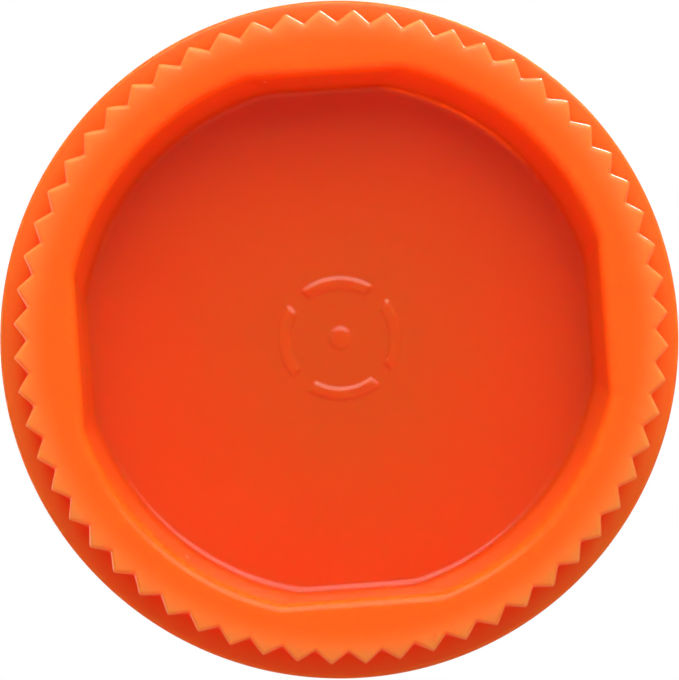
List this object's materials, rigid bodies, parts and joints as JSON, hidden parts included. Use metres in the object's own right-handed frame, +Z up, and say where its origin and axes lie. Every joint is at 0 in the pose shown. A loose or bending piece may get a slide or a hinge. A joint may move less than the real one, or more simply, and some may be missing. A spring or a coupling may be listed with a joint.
{
  "type": "prescription vial",
  "caption": "Straight-walled translucent plastic vial with a toothed foot ring and recessed base, closed by a push-and-turn cap of an inner threaded shell, liner, spring and ribbed outer shell",
  "frame": {"origin": "centre of the foot ring's standing face", "axes": "+Z up the vial's axis to the cap; the four flats of the base recess face +X, +Y, -X and -Y, and one foot tooth points along +X"},
  "size_m": [0.0478, 0.0478, 0.083],
  "materials": {
    "amber_plastic": "translucent orange moulding, satin-gloss, a little cloudy in the thick foot",
    "white_plastic": "opaque white moulding with a fine spark-eroded texture",
    "natural_plastic": "milky undyed moulding",
    "spring_plastic": "undyed spring-grade moulding, satin",
    "liner_foam": "fine closed-cell foam with smooth faces"
  },
  "bodies": {
    "vial": {"vial_body": "amber_plastic"},
    "liner": {"sealing_liner": "liner_foam"},
    "inner_cap": {"inner_cap": "natural_plastic"},
    "spring": {"spring_ring": "spring_plastic"},
    "outer_cap": {"outer_cap": "white_plastic"}
  },
  "joints": [
    {"name": "cap_rise", "type": "slide", "parent": "vial", "child": "liner", "axis": [0, 0, 1], "range_m": [0, 0.0126]},
    {"name": "cap_turn", "type": "hinge", "parent": "liner", "child": "inner_cap", "pos_m": [0, 0, 0.07], "axis": [0, 0, 1], "range_deg": [0, 1080]},
    {"name": "cap_spin", "type": "hinge", "parent": "inner_cap", "child": "spring", "pos_m": [0, 0, 0.08], "axis": [0, 0, 1], "continuous": true},
    {"name": "cap_push", "type": "slide", "parent": "spring", "child": "outer_cap", "axis": [0, 0, -1], "range_m": [0, 0.0014], "stiffness_N_per_m": 5000, "springref_m": -0.0015, "deforming": ["spring_ring"]}
  ],
  "couplings": [
    {"joint": "cap_turn", "follows": "cap_rise", "rad_per_m": 1496}
  ]
}
